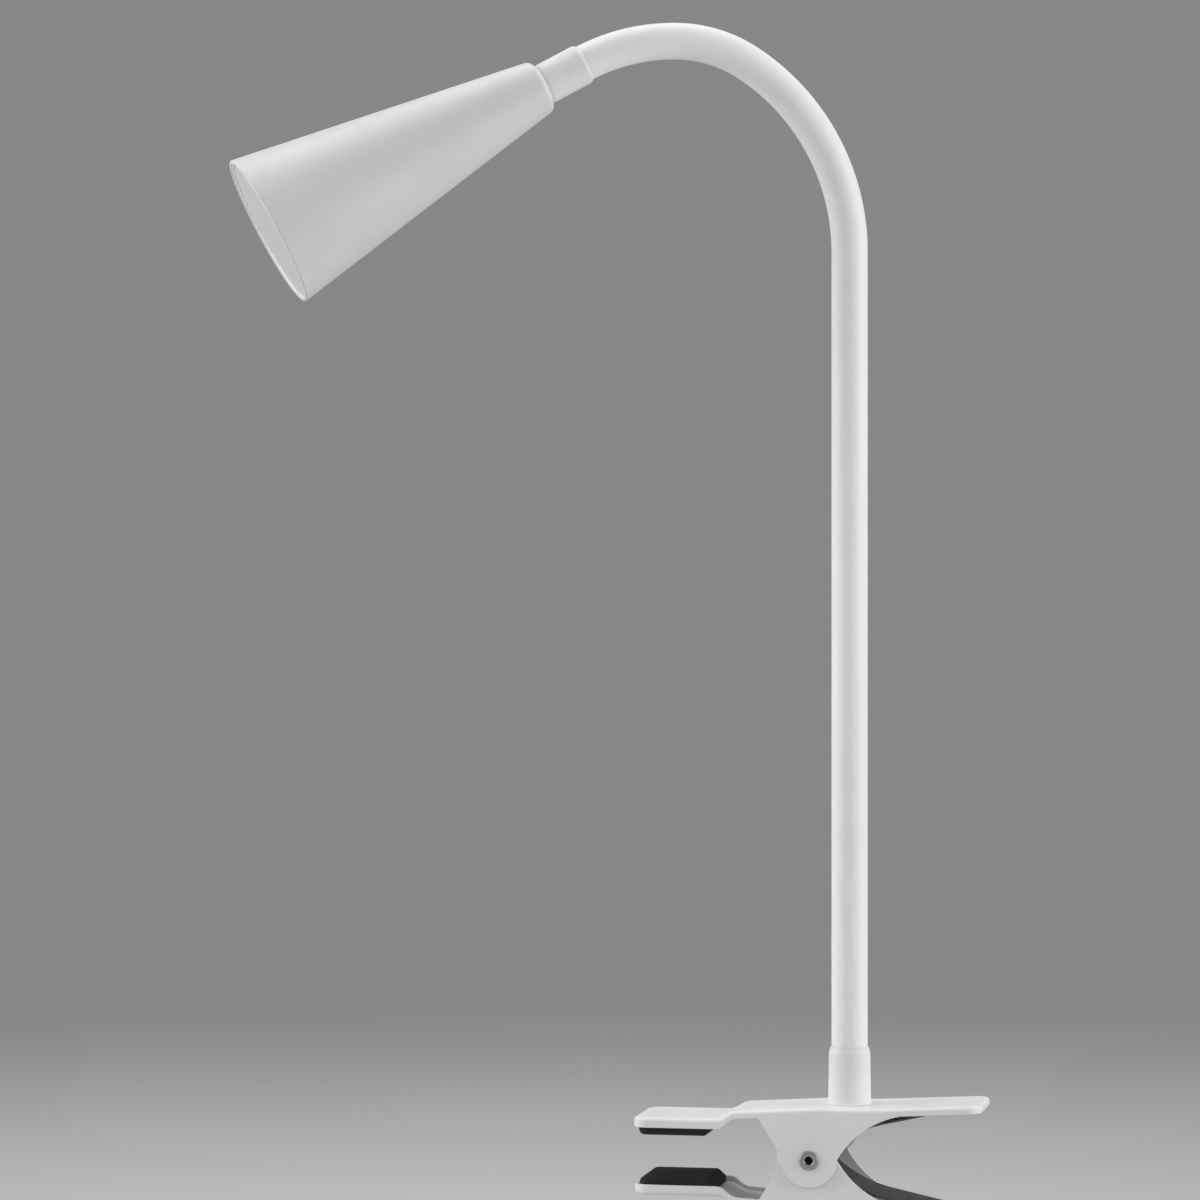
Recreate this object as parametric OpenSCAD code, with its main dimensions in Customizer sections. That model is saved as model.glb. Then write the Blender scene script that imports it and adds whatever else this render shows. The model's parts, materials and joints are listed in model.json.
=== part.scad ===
// Clamp lamp: a conical shade on a gooseneck that stands on a sprung clamp.
// The origin is the centre of the upper jaw pad's lower face, where it sits on a board.
// +Z is up, -X points along the jaws into the board, and the pivot runs along Y.

/* [Clamp levers] */
// Gap between the two jaw pads at rest
board_t = 16.5; // [14:0.5:24]
// Width of the upper lever across its cheeks
lever_w = 38; // [34:1:46]
// Thickness of the pressed sheet
sheet_t = 1.5; // [1.2:0.1:1.8]
// Reach of the jaws from the pivot to their tips
jaw_reach = 69; // [64:0.5:80]
// Reach of the handles from the pivot to their ends
handle_reach = 66; // [60:1:80]
// Depth of the turned-down lip round the handle plate
lip_d = 3; // [2.6:0.1:3.6]
// Depth of the turned-down lip round the jaw
jaw_lip_d = 3.9; // [3.2:0.1:4.6]
// Rise of the step from the jaw up to the plate
step_h = 3.1; // [2:0.1:4]
// Rise of the plate from the step up to the collar's seat
plate_rise = 1.9; // [0.6:0.1:2.4]
// Rise of the handle from the collar's seat to its end
handle_rise = 2.2; // [1:0.1:3]
// Half the length of the level seat under the base collar
seat_half_l = 10; // [9:0.5:12]
// Length of the sloped step between the jaw and the plate
step_l = 4.7; // [3:0.1:7]
// Distance from the pivot back to the foot of the step
step_back = 34.7; // [32:0.1:38]
// Corner radius of the lever plates in plan
lever_corner_r = 6; // [4:0.5:8]
// Radius of the round lobe of each cheek at the pivot
lobe_r = 10.5; // [9.5:0.1:11.5]
// Distance from the pivot back to a cheek's waist
waist_back = 12.4; // [12:0.1:13.5]
// Height above the pivot where a cheek's waist ends
waist_v = 4; // [2:0.1:6]
// Distance from the pivot back to a cheek's root on the plate
cheek_back = 21; // [19:0.1:24]
// Distance from the pivot to the end of a cheek's scooped edge
scoop_end = 42; // [38:0.1:46]
// Height of the scooped edge's end above the lip's edge
scoop_over = 0.3; // [0.1:0.1:0.6]
// Side clearance between the lower lever and the upper lever's cheeks
cheek_gap = 0.4; // [0.3:0.05:0.8]

/* [Jaw pads] */
// Length of a rubber pad along the jaw
pad_l = 29.5; // [24:0.5:31]
// Thickness of a pad below the jaw's lip
pad_t = 2.9; // [2.4:0.1:4.5]
// Round at the tip end of a pad
pad_round_r = 2.6; // [1.5:0.1:2.8]
// Length of the tapered end of a pad
pad_taper_l = 3; // [1:0.1:5]
// Clearance round a pad inside the jaw's lip
pad_gap = 0.3; // [0.2:0.05:0.5]
// Film of adhesive over a pad
glue_t = 0.1; // [0.05:0.01:0.2]

/* [Pivot and spring] */
// Diameter of the tubular rivet
rivet_d = 5; // [4:0.1:6]
// Bore of the tubular rivet
rivet_bore_d = 3; // [2:0.1:3.6]
// Diameter of the rivet's rolled heads
rivet_head_d = 7.6; // [7:0.1:10]
// Thickness of the rivet's rolled heads
rivet_head_t = 0.9; // [0.6:0.1:1.5]
// Radial running clearance on the rivet
pivot_fit = 0.05; // [0.03:0.01:0.08]
// Wall of the spacer barrel
barrel_wall = 0.8; // [0.6:0.1:1.5]
// End clearance of the spacer barrel between the lower lever's cheeks
barrel_end_gap = 0.3; // [0.2:0.05:0.6]
// Thickness of the flat spring
spring_t = 0.9; // [0.6:0.05:1.2]
// Width of the flat spring
spring_w = 28; // [20:0.5:29]
// Radius of the flat spring's bend at the pivot
spring_bend_r = 2.5; // [2:0.1:3.5]
// Reach of the flat spring from the pivot to its ends
spring_reach = 50; // [46:0.5:54]
// Length of the flat spring's straight tails
spring_tail_l = 22.4; // [18:0.1:26]
// Slope of the flat spring's straight tails
spring_tail_a = 12.5; // [10:0.5:15]
// Gap that seats the flat spring against the plates and the barrel
spring_seat = 0.3; // [0.2:0.05:0.4]

/* [Neck fixings] */
// Distance from the pivot to the gooseneck
neck_from_pivot = 13.2; // [11:0.1:16]
// Height of the base collar
collar_h = 22; // [18:0.5:30]
// Diameter of the base collar below its chamfer
collar_top_d = 16; // [15.8:0.1:20]
// Diameter of the base collar's foot
collar_foot_d = 16.6; // [16:0.1:22]
// Height of the base collar's chamfer
collar_chamfer_h = 2.3; // [1:0.1:4]
// Width of the rim at the collars' ends
collar_rim = 0.3; // [0.2:0.05:0.4]
// Diameter of the head collar
head_collar_d = 15.8; // [15.4:0.1:20]
// Length of the head collar
head_collar_l = 18; // [14:0.5:26]
// Chamfer at the ends of the head collar
head_collar_chamfer = 0.4; // [0.2:0.05:0.6]
// Clearance round the sleeve inside the collars
collar_fit = 0.1; // [0.05:0.01:0.2]
// Thread diameter of the hollow stud and nipple
thread_d = 10; // [9.8:0.1:10.6]
// Clearance of a thread in the sheet that it passes
thread_gap = 0.2; // [0.1:0.05:0.3]
// Radial clearance of a thread in its nut
thread_fit = 0.05; // [0.03:0.01:0.1]
// Height of the flange on the stud and nipple
flange_h = 5; // [4:0.1:7]
// Clearance round the flanges inside the collars
flange_gap = 0.3; // [0.2:0.05:0.4]
// Floor of the flange's socket, under the core
socket_floor = 1.5; // [1:0.1:2.5]
// Thickness of the washers
washer_t = 0.8; // [0.6:0.1:1.2]
// Outside diameter of the washers
washer_d = 15; // [14:0.1:16]
// Width of the nuts across flats
nut_af = 14; // [13:0.1:14.6]
// Height of the nuts
nut_h = 3; // [2.4:0.1:3.4]
// Length of thread that shows past a nut
thread_out = 0.8; // [0.4:0.1:1]
// Outside diameter of the inlet bush's tube
bush_d = 6.6; // [6:0.1:7]
// Length of the inlet bush's tube
bush_l = 4.5; // [3:0.1:5]
// Diameter of the inlet bush's flange
bush_flange_d = 9.6; // [8.5:0.1:10]
// Thickness of the inlet bush's flange
bush_flange_t = 1; // [0.6:0.1:1.2]
// Clearance of the bush in the stud, and of the lead in the stud and bush
bush_gap = 0.1; // [0.05:0.01:0.2]

/* [Gooseneck] */
// Outside diameter of the sleeve
sleeve_d = 14; // [13.6:0.1:14.2]
// Outside diameter of the wound core
core_d = 8.8; // [8:0.1:9]
// Bore of the wound core
core_bore_d = 5; // [4.8:0.1:5.4]
// Clearance of the core in the sleeve and in its sockets
core_gap = 0.1; // [0.05:0.01:0.2]
// Diameter of the supply lead
lead_d = 4.4; // [4:0.1:4.6]
// Length of the upright part above the base collar
straight_l = 307.3; // [260:1:360]
// Radius of the first bend
bend_1_r = 85; // [70:1:110]
// Angle of the first bend
bend_1_a = 58; // [40:1:64]
// Radius of the second bend
bend_2_r = 52; // [45:1:80]
// Angle of the second bend
bend_2_a = 32; // [20:1:40]
// Radius of the third bend
bend_3_r = 77; // [60:1:110]
// Angle of the third bend
bend_3_a = 28.6; // [15:0.1:40]
// Turn of the gooseneck about the upright, away from the jaws' line
arm_turn = 20.8; // [0:0.1:90]
// Distance from the base collar to the first bending place
end_run = 30; // [26:0.5:40]
// Step from the sleeve in to the ball of a bending place
ball_step = 0.15; // [0.1:0.01:0.2]
// Gap between the ball and dish of a bending place
ball_gap = 0.3; // [0.25:0.01:0.4]
// Width of the groove at a bending place
groove_w = 2.8; // [2.7:0.1:3.5]

/* [Shade] */
// Length of the shade along its axis
shade_l = 120; // [110:1:150]
// Outside diameter of the shade's mouth
shade_mouth_d = 60; // [56:1:80]
// Outside diameter of the shade's back end
shade_back_d = 20.6; // [20.4:0.1:26]
// Wall of the shade
shade_t = 1; // [0.8:0.1:1.6]
// Thickness of the shade's back wall
shade_back_t = 2; // [1.5:0.1:3]
// Round of the shoulder at the shade's back end
shoulder_r = 3; // [2:0.1:3.2]

/* [Light unit] */
// Clearance of the light unit inside the shade's wall
cone_gap = 0.35; // [0.3:0.05:0.6]
// Clearance between parts that stack face to face
seat_gap = 0.1; // [0.05:0.01:0.2]
// Depth of the diffuser behind the mouth
lens_recess = 2; // [1.8:0.1:4]
// Thickness of the diffuser
lens_t = 2; // [1.5:0.1:3]
// Width of the retaining ring
ring_w = 1.3; // [1:0.1:2]
// Height of the retaining ring
ring_h = 1.4; // [1:0.1:1.6]
// Depth of the reflector
reflector_l = 20; // [15:0.5:26]
// Wall of the reflector
reflector_t = 1; // [0.8:0.1:1.5]
// Depth of the heat sink
sink_l = 12; // [10:0.5:18]
// Thickness of the heat sink's disc
sink_disc_t = 4; // [3:0.1:6]
// Wall of the heat sink's rim
sink_rim_t = 1.8; // [1.5:0.1:3]
// Number of fins on the heat sink
fin_count = 10; // [6:2:16]
// Thickness of a fin
fin_t = 1.4; // [1:0.1:2]
// Length of a fin along the radius
fin_l = 6; // [4:0.5:8]
// Diameter of the diode board
led_board_d = 38; // [34:0.5:41]
// Thickness of the diode board
led_board_t = 1.6; // [1:0.1:2]
// Number of diodes in the ring
led_count = 12; // [6:1:16]
// Diameter of the ring of diodes
led_ring_d = 25; // [22:0.5:26]
// Side of a diode
led_w = 3.5; // [2.8:0.1:4]
// Height of a diode
led_h = 0.8; // [0.6:0.1:1.2]
// Number of screws in the diode board
screw_count = 3; // [2:1:4]
// Diameter of the ring of screws
screw_ring_d = 33; // [32:0.1:33.4]
// Shank diameter of a screw
screw_d = 2.4; // [2:0.1:2.6]
// Head diameter of a screw
screw_head_d = 4.2; // [3.6:0.1:4.4]
// Head height of a screw
screw_head_h = 1.6; // [1:0.1:2]
// Clearance of a screw in its hole
screw_gap = 0.1; // [0.05:0.01:0.2]

/* [Driver] */
// Length of the driver board
driver_l = 46; // [40:0.5:48]
// Width of the driver board
driver_w = 20; // [18:0.5:22]
// Thickness of the driver board
driver_t = 1.4; // [1:0.1:1.6]
// Length of the posts that hold the driver board
post_l = 7; // [5:0.1:9]
// Wall of the posts round the driver board
post_wall = 2; // [1.5:0.1:2.5]
// Depth of the driver board's edge in a post
post_grip = 2.5; // [2:0.1:3.5]
// Clearance of the driver board in its posts
post_gap = 0.15; // [0.1:0.01:0.25]
// Length, width and height of the transformer
transformer = [12, 11, 9]; // [6:0.5:14]
// Diameter of the capacitor
capacitor_d = 8; // [6:0.1:9]
// Length of the capacitor
capacitor_l = 11; // [8:0.5:13]
// Diameter of the choke
choke_d = 6; // [4:0.1:7]
// Height of the choke
choke_h = 7; // [4:0.1:8]
// Diameter of the wires inside the shade
wire_d = 1.3; // [1:0.1:1.6]
// Length of a wire along the driver board
wire_on_board = 7; // [4:0.5:9]
// Space between the lead's end and the driver board
lead_short = 2; // [1:0.1:4]

/* [Hidden] */
$fn = 96;
upright_links = 5;
link_count = upright_links + 3;
far = 200;
// Overshoot of a cut past the faces that it opens, and overlap of pieces that join
cut = 1;
// Overlap, and the step in radius, where a straight tail joins the last bend
tail_lap = 0.5;
tail_step = 0.05;

// Clamp, measured from the pivot
pivot_x = jaw_reach - sheet_t - pad_gap - pad_l / 2;
pivot_z = -board_t / 2;
jaw_v = board_t / 2 + pad_t + jaw_lip_d;
step_u = step_l - step_back;
seat_u0 = neck_from_pivot - seat_half_l;
seat_u1 = neck_from_pivot + seat_half_l;
plate_v = jaw_v + step_h + plate_rise;
plate_z = pivot_z + plate_v;
lower_w = lever_w - 2 * (sheet_t + cheek_gap);
scoop_v = plate_at(scoop_end) - lip_d + scoop_over;
scoop_run = scoop_end - lobe_r;
scoop_r = (scoop_run * scoop_run + scoop_v * scoop_v) / (2 * scoop_v);
scoop_c = scoop_v - scoop_r;
step_a = atan2(step_h, step_l);
step_shift = sheet_t * tan(step_a / 2);

// Spacer barrel, and the flat spring: a tight bend beside the barrel, then two arms that curve out
// to straight tails, whose ends seat on the plates
barrel_r = rivet_d / 2 + pivot_fit + barrel_wall;
barrel_l = lower_w - 2 * (sheet_t + barrel_end_gap);
spring_bend_c = [barrel_r + spring_seat + spring_t / 2 + spring_bend_r, 0];
tail_end = [spring_reach, plate_at(spring_reach) - sheet_t - spring_seat - spring_t / 2];
tail_start = tail_end - spring_tail_l * [cos(spring_tail_a), sin(spring_tail_a)];
tail_in = [sin(spring_tail_a), -cos(spring_tail_a)];
arm_run = tail_start - spring_bend_c;
arm_r = (spring_bend_r * spring_bend_r - arm_run * arm_run) / (2 * (arm_run * tail_in + spring_bend_r));
arm_c = tail_start + arm_r * tail_in;
arm_start_a = 90 + spring_tail_a;
arm_end_a = atan2(-arm_c[1], spring_bend_c[0] - arm_c[0]);
spring_steps = 16;

// Collars, stud and nipple
neck_x = pivot_x + neck_from_pivot;
sleeve_r = sleeve_d / 2;
core_r = core_d / 2;
lead_r = lead_d / 2;
collar_bore_r = sleeve_r + collar_fit;
thread_r = thread_d / 2;
flange_r = collar_bore_r - flange_gap;
lead_hole_r = lead_r + 2 * bush_gap;
stack_t = washer_t + nut_h + thread_out;
stud_l = sheet_t + stack_t;

// Gooseneck path in its own plane: an upright, then three bends towards -X
bend_r = [bend_1_r, bend_2_r, bend_3_r];
bend_a = [0, bend_1_a, bend_1_a + bend_2_a, bend_1_a + bend_2_a + bend_3_a];
bend_s = [for (i = 0, s = straight_l; i <= 3; s = i < 3 ? s + arc_l(i) : s, i = i + 1) s];
bend_c1 = [-bend_1_r, straight_l];
bend_c2 = bend_c1 + (bend_1_r - bend_2_r) * [cos(bend_a[1]), sin(bend_a[1])];
bend_c3 = bend_c2 + (bend_2_r - bend_3_r) * [cos(bend_a[2]), sin(bend_a[2])];
bend_c = [bend_c1, bend_c2, bend_c3];
neck_l = bend_s[3];
ball_r = sleeve_r - ball_step;

// Shade and light unit, measured from the sleeve's end of the head collar
mouth_h = head_collar_l + shade_l;
shade_slope = (shade_mouth_d - shade_back_d) / 2 / shade_l;
shade_a = atan(shade_slope);
lens_front = mouth_h - lens_recess;
lens_back = lens_front - lens_t;
reflector_front = lens_back - seat_gap;
sink_front = reflector_front - reflector_l - seat_gap;
sink_back = sink_front - sink_l;
driver_front = sink_front - sink_disc_t - post_gap;
driver_back = driver_front - driver_l;
lead_end = driver_back - lead_short;
wire_x = driver_t / 2 + wire_d / 2 + seat_gap;
wire_y = wire_d;
fin_out = unit_r(sink_back) - sink_rim_t / 2;

// Height of the plate's top at u, which is level only under the collar
function plate_at(u) =
    u < seat_u0 ? plate_v - plate_rise * (seat_u0 - u) / (seat_u0 - step_u)
    : u > seat_u1 ? plate_v + handle_rise * (u - seat_u1) / (handle_reach - seat_u1)
    : plate_v;
function plate_line(drop) = [for (u = [step_u, seat_u0, seat_u1, handle_reach]) [u, plate_at(u) - drop]];
function backwards(points) = [for (i = [len(points) - 1:-1:0]) points[i]];
function flipped(points) = [for (p = points) [p[0], -p[1]]];
function arc(centre, radius, from_a, to_a, steps) =
    [for (i = steps) centre + radius * [cos(from_a + (to_a - from_a) * i / spring_steps),
                                        sin(from_a + (to_a - from_a) * i / spring_steps)]];
function arc_l(i) = bend_r[i] * (bend_a[i + 1] - bend_a[i]) * PI / 180;
function bend_at(s) = s <= bend_s[1] ? 0 : s <= bend_s[2] ? 1 : 2;
function path_angle(s) =
    s <= bend_s[0] ? 0
    : s >= neck_l ? bend_a[3]
    : let (i = bend_at(s)) bend_a[i] + (s - bend_s[i]) / bend_r[i] * 180 / PI;
function path_point(s) =
    s <= bend_s[0] ? [0, s]
    : let (i = bend_at(s), a = path_angle(s))
        bend_c[i] + bend_r[i] * [cos(a), sin(a)] + max(s - neck_l, 0) * [-sin(a), cos(a)];
// Bending places: along the upright, in the middle of the first bend, and at both ends of the second
function joint_s(k) =
    k <= upright_links + 1 ? end_run + (k - 1) * (straight_l - end_run) / upright_links
    : k == upright_links + 2 ? (bend_s[0] + bend_s[1]) / 2
    : bend_s[k - upright_links - 2];
function shade_out(h) = shade_back_d / 2 + (h - head_collar_l) * shade_slope;
function shade_in(h) = shade_out(h) - shade_t / cos(shade_a);
function unit_r(h) = shade_in(h) - cone_gap;

// Frames
module at_pivot() translate([pivot_x, 0, pivot_z]) children();
module on_plate() translate([neck_x, 0, plate_z]) children();
module neck_frame() translate([neck_x, 0, plate_z + collar_h]) rotate([0, 0, arm_turn]) children();
module at_path(s) {
    p = path_point(s);
    translate([p[0], 0, p[1]]) rotate([0, -path_angle(s), 0]) children();
}
module head_frame() neck_frame() at_path(neck_l) children();

// Turns an outline in X and Z into a solid of width w across the clamp
module across(w) rotate([90, 0, 0]) linear_extrude(w, center = true) children();

module tube(r_out, r_in, l) {
    difference() {
        cylinder(r = r_out, h = l);
        translate([0, 0, -cut]) cylinder(r = r_in, h = l + 2 * cut);
    }
}

// Clamp levers: one pressing, used the right way up and turned over
module lever_plan(w, inset) {
    r = lever_corner_r - inset;
    x0 = -jaw_reach + inset;
    x1 = handle_reach - inset;
    y1 = w / 2 - inset;
    translate([x0, -y1 + r]) square([x1 - x0, 2 * (y1 - r)]);
    translate([x0 + r, -y1]) square([x1 - x0 - 2 * r, 2 * y1]);
    for (x = [x0 + r, x1 - r], y = [-y1 + r, y1 - r]) translate([x, y]) circle(r);
}

module lever_plan_block(w, inset) {
    translate([0, 0, -far / 2]) linear_extrude(far) lever_plan(w, inset);
}

module cheek_outline() {
    tangent_a = acos(lobe_r / waist_back);
    difference() {
        polygon([
            [-waist_back, waist_v],
            [-waist_back, 0],
            [-lobe_r * cos(tangent_a), -lobe_r * sin(tangent_a)],
            [0, -waist_v],
            [scoop_end, -waist_v],
            [scoop_end, plate_at(scoop_end) - sheet_t / 2],
            [-cheek_back, plate_at(-cheek_back) - sheet_t / 2]
        ]);
        translate([scoop_end, scoop_c]) circle(scoop_r);
    }
    circle(lobe_r);
}

module tray_outline() {
    jaw_lip_v = jaw_v - jaw_lip_d;
    polygon(concat(
        [[-jaw_reach, jaw_lip_v], [-jaw_reach, jaw_v], [-step_back, jaw_v]],
        plate_line(0),
        backwards(plate_line(lip_d)),
        [[-step_back, jaw_lip_v]]
    ));
}

module tray_hollow() {
    jaw_in_v = jaw_v - sheet_t;
    polygon(concat(
        [[-jaw_reach, -far], [-jaw_reach, jaw_in_v], [step_shift - step_back, jaw_in_v]],
        [for (p = plate_line(sheet_t)) p[0] == step_u ? [p[0] + step_shift, p[1]] : p],
        [[handle_reach, -far]]
    ));
}

module lever(w) {
    difference() {
        union() {
            difference() {
                intersection() {
                    across(far) tray_outline();
                    lever_plan_block(w, 0);
                }
                intersection() {
                    across(far) tray_hollow();
                    lever_plan_block(w, sheet_t);
                }
            }
            for (side = [-1, 1]) translate([0, side * (w - sheet_t) / 2, 0]) across(sheet_t) cheek_outline();
        }
        across(far) circle(rivet_d / 2 + pivot_fit);
    }
}

// Jaw pad, standing on its gripping face at z = 0
module pad(w) {
    top = pad_t + jaw_lip_d - sheet_t - glue_t;
    intersection() {
        across(far) {
            translate([-pad_l / 2 + pad_round_r, 0]) square([pad_l - pad_round_r - pad_taper_l, top]);
            translate([-pad_l / 2, pad_round_r]) square([pad_l, top - pad_round_r]);
            translate([-pad_l / 2 + pad_round_r, pad_round_r]) circle(pad_round_r);
            polygon([
                [pad_l / 2 - pad_taper_l, 0],
                [pad_l / 2, pad_round_r],
                [pad_l / 2 - pad_taper_l, pad_round_r]
            ]);
        }
        translate([pivot_x, 0, 0]) lever_plan_block(w, sheet_t + pad_gap);
    }
}

module upper_lever() {
    color("whitesmoke") difference() {
        at_pivot() lever(lever_w);
        on_plate() translate([0, 0, -sheet_t - cut])
            cylinder(r = thread_r + thread_gap, h = sheet_t + 2 * cut);
    }
}

module upper_pad() color([0.1, 0.1, 0.1]) pad(lever_w);

module lower_lever() color("whitesmoke") at_pivot() mirror([0, 0, 1]) lever(lower_w);

module lower_pad() {
    color([0.1, 0.1, 0.1]) translate([0, 0, -board_t]) mirror([0, 0, 1]) pad(lower_w);
}

// Pivot and spring
module pivot_rivet() {
    color("gainsboro") at_pivot() difference() {
        union() {
            across(lever_w) circle(rivet_d / 2);
            for (side = [-1, 1]) {
                translate([0, side * (lever_w + rivet_head_t) / 2, 0])
                    across(rivet_head_t) circle(rivet_head_d / 2);
            }
        }
        across(far) circle(rivet_bore_d / 2);
    }
}

module pivot_barrel() {
    color("ivory") at_pivot() difference() {
        across(barrel_l) circle(barrel_r);
        across(far) circle(rivet_d / 2 + pivot_fit);
    }
}

// One face of the spring, from its upper end round to its lower one, on the outer (+1) or inner (-1) side
function spring_face(side) =
    let (
        h = side * spring_t / 2,
        arm = concat(
            [tail_end - h * tail_in],
            arc(arm_c, arm_r + h, arm_start_a, arm_end_a, [0:spring_steps])
        ),
        bend = arc(spring_bend_c, spring_bend_r + h, arm_end_a, 360 - arm_end_a, [1:spring_steps - 1])
    )
    concat(arm, bend, backwards(flipped(arm)));

module clamp_spring() {
    color("dimgray") at_pivot() across(spring_w)
        polygon(concat(spring_face(1), backwards(spring_face(-1))));
}

// Fixing of the gooseneck to the clamp plate
module base_collar() {
    chamfer_z = collar_h - collar_chamfer_h;
    color("white") on_plate() rotate_extrude() polygon([
        [collar_bore_r, 0],
        [collar_foot_d / 2, 0],
        [collar_top_d / 2, chamfer_z],
        [collar_bore_r + collar_rim, collar_h],
        [collar_bore_r, collar_h]
    ]);
}

// Hollow thread with a flange, its shoulder at z = 0 and its thread pointing down by l
module flanged_thread(l) {
    difference() {
        union() {
            cylinder(r = flange_r, h = flange_h);
            translate([0, 0, -l]) cylinder(r = thread_r, h = l);
        }
        translate([0, 0, socket_floor]) cylinder(r = core_r + core_gap, h = flange_h);
        translate([0, 0, -l - cut]) cylinder(r = lead_hole_r, h = l + cut + flange_h);
    }
}

module washer() tube(washer_d / 2, thread_r + thread_gap, washer_t);

module nut() {
    difference() {
        cylinder(d = nut_af / cos(30), h = nut_h, $fn = 6);
        translate([0, 0, -cut]) cylinder(r = thread_r + thread_fit, h = nut_h + 2 * cut);
    }
}

module base_stud() {
    color("silver") on_plate() difference() {
        flanged_thread(stud_l);
        translate([0, 0, -stud_l - cut]) cylinder(r = bush_d / 2 + bush_gap, h = bush_l + bush_gap + cut);
    }
}

module base_washer() color("silver") on_plate() translate([0, 0, -sheet_t - washer_t]) washer();

module base_nut() color("silver") on_plate() translate([0, 0, -sheet_t - washer_t - nut_h]) nut();

module inlet_bush() {
    color([0.15, 0.15, 0.15]) on_plate() translate([0, 0, -stud_l]) difference() {
        union() {
            cylinder(d = bush_d, h = bush_l);
            translate([0, 0, -bush_flange_t]) cylinder(d = bush_flange_d, h = bush_flange_t);
        }
        translate([0, 0, -bush_flange_t - cut])
            cylinder(r = lead_r + bush_gap, h = bush_l + bush_flange_t + 2 * cut);
    }
}

// Gooseneck: a rod of radius r along length k's own part of the path, from s0 to s1
module rod(k, s0, s1, r) {
    if (k <= upright_links) {
        translate([0, 0, s0]) cylinder(r = r, h = s1 - s0);
    } else {
        i = max(k - upright_links - 2, 0);
        turn = 180 / PI / bend_r[i];
        translate([bend_c[i][0], 0, bend_c[i][1]]) rotate([90, 0, 0])
            rotate([0, 0, bend_a[i] + (s0 - bend_s[i]) * turn])
                rotate_extrude(angle = (s1 - s0) * turn) translate([bend_r[i], 0]) circle(r);
    }
}

// Straight end of the gooseneck inside the head collar, of length l
module tail(l, r) at_path(neck_l - tail_lap) cylinder(r = r, h = l + tail_lap);

// All beyond a bending place, apart from the ball that fills it
module ball_cut() {
    difference() {
        cylinder(r = 2 * sleeve_d, h = 2 * sleeve_d);
        sphere(r = ball_r);
    }
}

// Length k of the gooseneck, with a dish where it meets the one before and a ball at its own end.
// The base's length is 0, and the head's, after the last link, has a tail in the head collar.
module neck_length(k, s_first, tail_l, r_out, r_in) {
    is_head = k > link_count;
    s0 = k == 0 ? s_first : joint_s(k) + groove_w;
    s1 = is_head ? neck_l : joint_s(k + 1);
    past = is_head ? 0 : sleeve_d;
    neck_frame() difference() {
        union() {
            rod(k, s0, s1 + past, r_out);
            if (is_head) tail(tail_l, r_out - tail_step);
        }
        if (!is_head) at_path(s1) ball_cut();
        if (k > 0) at_path(joint_s(k)) sphere(r = ball_r + ball_gap);
        if (r_in > 0) rod(k, s0 - groove_w, s1 + 2 * past, r_in);
        if (r_in > 0 && is_head) tail(tail_l + tail_lap, r_in + tail_step);
    }
}

module sleeve(k) {
    first = -collar_h + flange_h + seat_gap;
    color("white") neck_length(k, first, head_collar_l - flange_h - seat_gap, sleeve_r, core_r + core_gap);
}

module core(k) {
    first = -collar_h + socket_floor + seat_gap;
    color("silver") neck_length(k, first, head_collar_l - socket_floor - seat_gap, core_r, core_bore_d / 2);
}

module lead(k) color("black") neck_length(k, -collar_h, lead_end, lead_r, 0);

// Head
module head_collar() {
    out = head_collar_d / 2;
    color("white") head_frame() rotate_extrude() polygon([
        [collar_bore_r, 0],
        [out - head_collar_chamfer, 0],
        [out, head_collar_chamfer],
        [out, head_collar_l - head_collar_chamfer],
        [out - head_collar_chamfer, head_collar_l],
        [collar_bore_r, head_collar_l]
    ]);
}

module head_nipple() {
    color("silver") head_frame() translate([0, 0, head_collar_l]) mirror([0, 0, 1])
        flanged_thread(shade_back_t + stack_t);
}

module head_washer() {
    color("silver") head_frame() translate([0, 0, head_collar_l + shade_back_t]) washer();
}

module head_nut() {
    color("silver") head_frame() translate([0, 0, head_collar_l + shade_back_t + washer_t]) nut();
}

module shade() {
    steps = 6;
    back = head_collar_l;
    inner = back + shade_back_t;
    round_r = shade_out(back) + shoulder_r * (tan(shade_a) - 1 / cos(shade_a));
    color("white") head_frame() rotate_extrude() polygon(concat(
        [[thread_r + thread_gap, back]],
        [for (i = [0:steps]) let (a = -90 + (90 - shade_a) * i / steps)
            [round_r + shoulder_r * cos(a), back + shoulder_r * (1 + sin(a))]],
        [
            [shade_out(mouth_h), mouth_h],
            [shade_in(mouth_h), mouth_h],
            [shade_in(inner), inner],
            [thread_r + thread_gap, inner]
        ]
    ));
}

// Ring that follows the inside of the shade between two heights
module cone_ring(h0, h1, wall) {
    rotate_extrude() polygon([
        [unit_r(h0) - wall, h0],
        [unit_r(h0), h0],
        [unit_r(h1), h1],
        [unit_r(h1) - wall, h1]
    ]);
}

module screw_places() {
    for (i = [0:screw_count - 1]) rotate([0, 0, 360 * i / screw_count])
        translate([screw_ring_d / 2, 0, 0]) children();
}

module driver_posts() {
    slot_t = driver_t + 2 * post_gap;
    for (side = [0, 1]) mirror([0, side, 0]) difference() {
        translate([-slot_t / 2 - post_wall, driver_w / 2 - post_grip, sink_front - sink_disc_t - post_l])
            cube([slot_t + 2 * post_wall, post_grip + post_gap + post_wall, post_l + cut]);
        translate([-slot_t / 2, 0, 0]) cube([slot_t, driver_w / 2 + post_gap, sink_front - sink_disc_t]);
    }
}

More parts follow.
